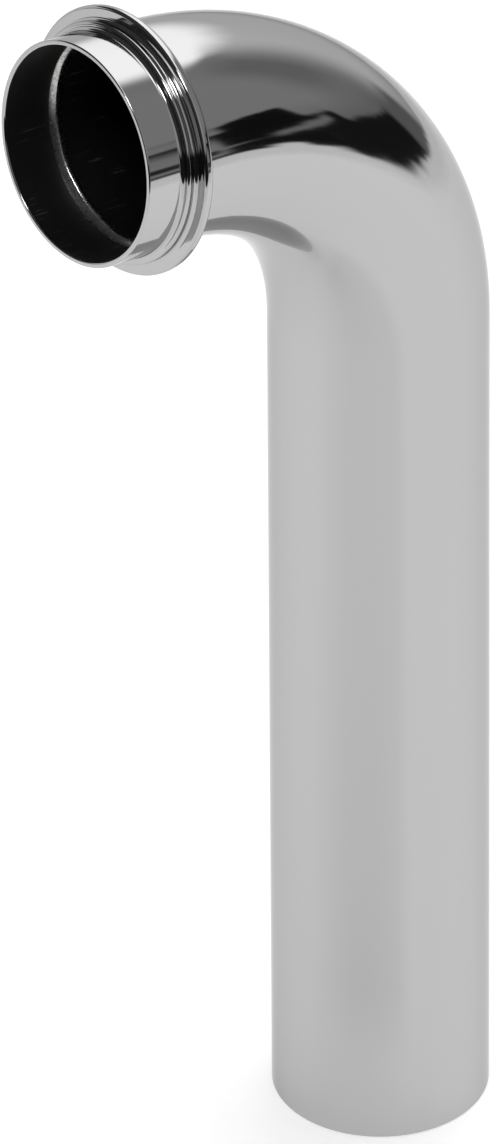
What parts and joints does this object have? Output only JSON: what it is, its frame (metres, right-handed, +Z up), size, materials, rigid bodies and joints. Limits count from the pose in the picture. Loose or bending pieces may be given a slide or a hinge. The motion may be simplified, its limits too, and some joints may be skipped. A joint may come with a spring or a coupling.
{
  "type": "p trap outlet elbow",
  "caption": "Chrome-plated tubular brass outlet elbow of a P-trap: a long plain leg, an 82-degree bend and a short spigot with a stepped collar for a union nut.",
  "frame": {"origin": "centre of the bottom of the part's box, in the plane of the leg's open end", "axes": "+Z up along the leg, -X towards the spigot's mouth, which points 8 degrees above level, Y = 0 is the mirror plane"},
  "size_m": [0.0726, 0.0388, 0.2032],
  "materials": {
    "tube_chrome": "polished chrome plate on brass tube",
    "collar_chrome": "polished chrome plate on turned brass",
    "braze_filler": "dull, slightly uneven silver brazing filler"
  },
  "bodies": {
    "root": {"wall_tube": "tube_chrome", "spigot_collar": "collar_chrome", "braze_fillet": "braze_filler"}
  },
  "joints": []
}
